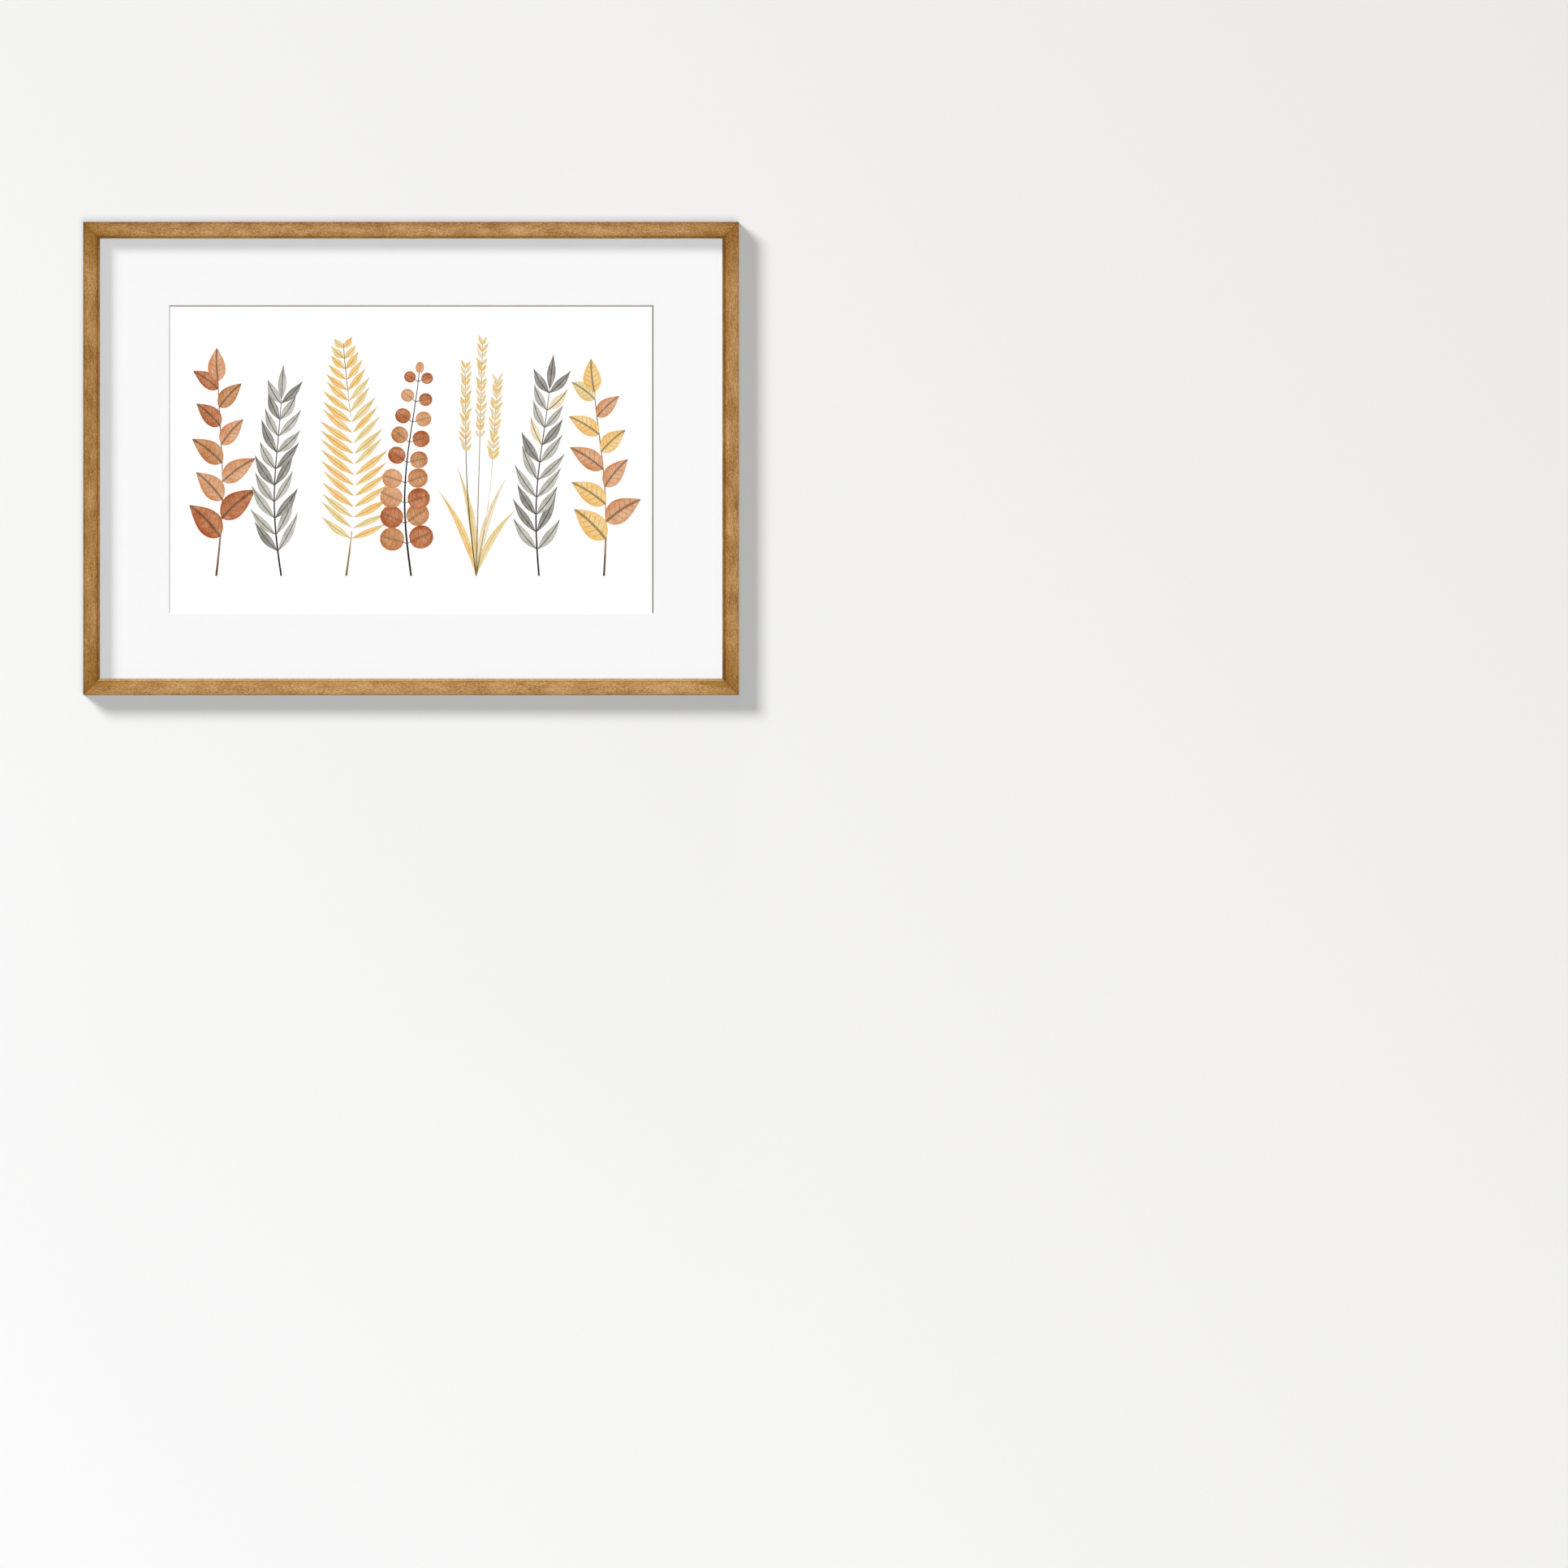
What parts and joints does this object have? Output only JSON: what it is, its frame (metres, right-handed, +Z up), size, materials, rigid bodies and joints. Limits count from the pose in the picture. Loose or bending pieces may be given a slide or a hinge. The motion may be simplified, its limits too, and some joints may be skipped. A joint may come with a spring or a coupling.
{
  "type": "framed print",
  "caption": "Landscape wall print in a slim mitred wooden frame, with clear glazing, a wide bevelled window mat, a paper print and a backing board with sawtooth hangers.",
  "frame": {"origin": "middle of the top rail's back face, which lies flat against the wall", "axes": "+X to the right as seen from the front, +Z up, and -Y out of the wall towards the viewer"},
  "size_m": [0.6254, 0.026, 0.4514],
  "materials": {
    "stained_wood": "satin",
    "glazing": "polished",
    "mat_board": "matte",
    "print_paper": "matte",
    "fibreboard": "matte",
    "steel": "satin",
    "brassed_steel": "satin"
  },
  "bodies": {
    "root": {"rail_top": "stained_wood", "rail_bottom": "stained_wood", "rail_left": "stained_wood", "rail_right": "stained_wood", "glazing_pane": "glazing", "window_mat": "mat_board", "print_sheet": "print_paper", "backing_board": "fibreboard", "corner_nail_top_left": "steel", "corner_nail_top_right": "steel", "corner_nail_bottom_left": "steel", "corner_nail_bottom_right": "steel", "flexible_point_top_1": "steel", "flexible_point_top_2": "steel", "flexible_point_top_3": "steel", "flexible_point_bottom_1": "steel", "flexible_point_bottom_2": "steel", "flexible_point_bottom_3": "steel", "flexible_point_left_1": "steel", "flexible_point_left_2": "steel", "flexible_point_right_1": "steel", "flexible_point_right_2": "steel", "hanger_left": "brassed_steel", "hanger_right": "brassed_steel", "rivet_left_1": "steel", "rivet_left_2": "steel", "rivet_right_1": "steel", "rivet_right_2": "steel"}
  },
  "joints": []
}
